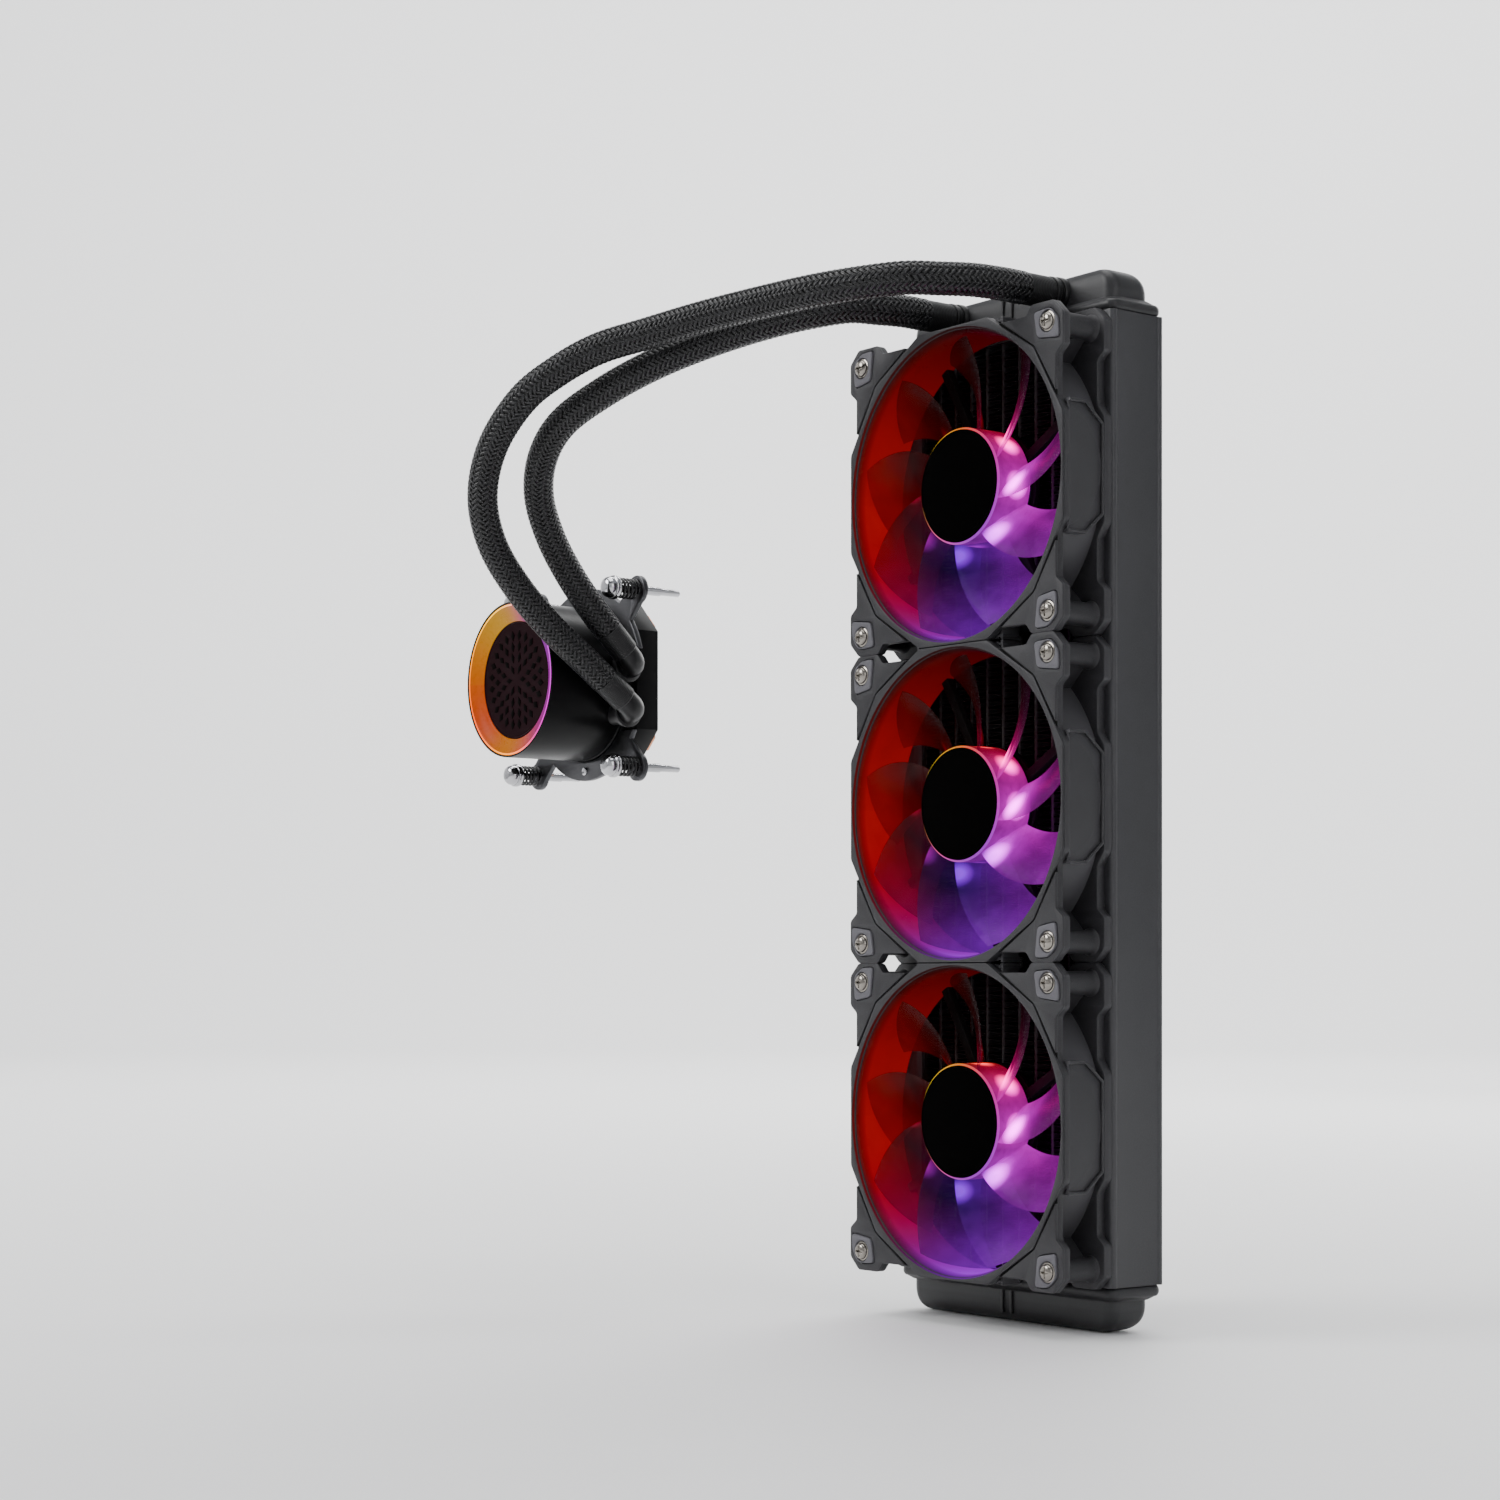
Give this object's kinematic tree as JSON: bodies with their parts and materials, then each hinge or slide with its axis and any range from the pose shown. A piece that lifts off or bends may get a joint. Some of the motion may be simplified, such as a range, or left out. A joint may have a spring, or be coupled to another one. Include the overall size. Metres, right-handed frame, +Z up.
{
  "type": "liquid cooling radiator",
  "caption": "Sealed liquid cooler: a slim radiator with lit fans on its face, joined by braided hoses to a round lit pump head with a copper cold plate.",
  "frame": {"origin": "centre of the middle fan's screw pattern, on the radiator's rear face", "axes": "+Z up along the radiator, +X towards the front of the case, +Y out of the rear face, so the fans face -Y"},
  "size_m": [0.3235, 0.1632, 0.394],
  "materials": {
    "fin_black": "thin folded aluminium, painted satin black",
    "core_metal": "brazed aluminium, dark painted",
    "tank_black": "satin black powder coat",
    "channel_charcoal": "satin charcoal powder coat",
    "fitting_black": "satin black moulded plastic",
    "seal_rubber": "black rubber",
    "fan_frame_grey": "fine speckled matte dark grey moulding",
    "fan_trim_grey": "matte dark grey moulding, lit from the duct",
    "rotor_smoke": "translucent smoked plastic, lit magenta from the hub",
    "cap_black": "matt black",
    "magnet_grey": "bonded ferrite",
    "shaft_steel": "ground steel",
    "bearing_bronze": "sintered bronze",
    "copper_winding": "enamelled copper wire",
    "board_green": "solder-masked circuit board",
    "pad_rubber": "light grey moulded rubber",
    "screw_nickel": "nickel-plated steel",
    "hose_braid": "black nylon braid with silver-grey glints",
    "cuff_rubber": "black heat-shrink, finely ribbed",
    "copper": "bare machined copper",
    "pump_black": "satin black shell",
    "impeller_white": "white engineering plastic",
    "ceramic": "polished ceramic",
    "pump_diffuser": "frosted diffuser, lit orange to magenta",
    "pump_face": "black gloss disc with a faint cell pattern",
    "bracket_steel": "dark plated steel",
    "screw_chrome": "bright chrome",
    "spring_black": "black coated spring wire"
  },
  "bodies": {
    "radiator": {"fin_pack": "fin_black", "core_tubes": "core_metal", "header_plates": "core_metal", "inlet_tank": "tank_black", "return_tank": "tank_black", "tank_divider": "tank_black", "side_channel_left": "channel_charcoal", "side_channel_right": "channel_charcoal", "tank_ports": "fitting_black", "port_ferrules": "fitting_black", "fill_plug": "fitting_black", "fill_plug_seal": "seal_rubber", "top_fan_frame": "fan_frame_grey", "top_fan_trim": "fan_trim_grey", "top_fan_bearing": "bearing_bronze", "top_fan_stator": "copper_winding", "top_fan_board": "board_green", "middle_fan_frame": "fan_frame_grey", "middle_fan_trim": "fan_trim_grey", "middle_fan_bearing": "bearing_bronze", "middle_fan_stator": "copper_winding", "middle_fan_board": "board_green", "bottom_fan_frame": "fan_frame_grey", "bottom_fan_trim": "fan_trim_grey", "bottom_fan_bearing": "bearing_bronze", "bottom_fan_stator": "copper_winding", "bottom_fan_board": "board_green", "corner_pads": "pad_rubber", "fan_screws": "screw_nickel", "supply_hose": "hose_braid", "return_hose": "hose_braid", "hose_cuffs": "cuff_rubber", "supply_elbow": "fitting_black", "return_elbow": "fitting_black", "cold_plate": "copper", "cold_plate_seal": "seal_rubber", "pump_base": "pump_black", "pump_can": "pump_black", "impeller_pin": "ceramic", "pump_stator": "copper_winding", "pump_board": "board_green", "pump_cover": "pump_black", "pump_light_ring": "pump_diffuser", "pump_face_cap": "pump_face", "mounting_bracket": "bracket_steel", "bracket_screws": "screw_chrome", "bracket_springs": "spring_black"},
    "top_fan_spinner": {"top_fan_rotor": "rotor_smoke", "top_fan_cap": "cap_black", "top_fan_magnet": "magnet_grey", "top_fan_shaft": "shaft_steel"},
    "middle_fan_spinner": {"middle_fan_rotor": "rotor_smoke", "middle_fan_cap": "cap_black", "middle_fan_magnet": "magnet_grey", "middle_fan_shaft": "shaft_steel"},
    "bottom_fan_spinner": {"bottom_fan_rotor": "rotor_smoke", "bottom_fan_cap": "cap_black", "bottom_fan_magnet": "magnet_grey", "bottom_fan_shaft": "shaft_steel"},
    "pump_spinner": {"impeller": "impeller_white"}
  },
  "joints": [
    {"name": "top_fan_spin", "type": "hinge", "parent": "radiator", "child": "top_fan_spinner", "pos_m": [0, -0.04, 0.12], "axis": [0, -1, 0], "continuous": true},
    {"name": "middle_fan_spin", "type": "hinge", "parent": "radiator", "child": "middle_fan_spinner", "pos_m": [0, -0.04, 0], "axis": [0, -1, 0], "continuous": true},
    {"name": "bottom_fan_spin", "type": "hinge", "parent": "radiator", "child": "bottom_fan_spinner", "pos_m": [0, -0.04, -0.12], "axis": [0, -1, 0], "continuous": true},
    {"name": "impeller_spin", "type": "hinge", "parent": "radiator", "child": "pump_spinner", "pos_m": [-0.22, -0.075, 0.061], "axis": [0, -1, 0], "continuous": true}
  ]
}
